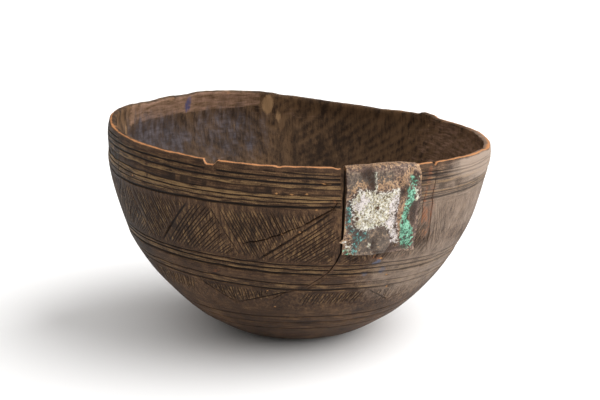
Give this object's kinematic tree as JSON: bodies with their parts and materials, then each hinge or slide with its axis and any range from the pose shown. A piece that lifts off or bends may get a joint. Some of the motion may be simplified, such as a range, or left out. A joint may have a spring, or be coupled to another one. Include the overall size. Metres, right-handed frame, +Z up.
{
  "type": "carved wooden bowl",
  "caption": "Deep round-bottomed carved wooden bowl with bands of cut grooves and hatching, split at the uneven rim and mended with a folded painted tin patch.",
  "frame": {"origin": "middle of the flat foot, on the surface that the bowl stands on", "axes": "+Z up through the mouth; -Y is the front, and the tin patch lies a little to the +X side of it"},
  "size_m": [0.3599, 0.3591, 0.2117],
  "materials": {
    "wood": "old, dark, hand-carved hardwood, dry and lightly burnished",
    "tin": "thin tin sheet with worn cream and green paint, rusted at its edges",
    "iron": "small rusted iron tacks"
  },
  "bodies": {
    "root": {"bowl_body": "wood", "tin_patch": "tin", "tack_1": "iron", "tack_2": "iron", "tack_3": "iron", "tack_4": "iron", "tack_5": "iron", "tack_6": "iron"}
  },
  "joints": []
}
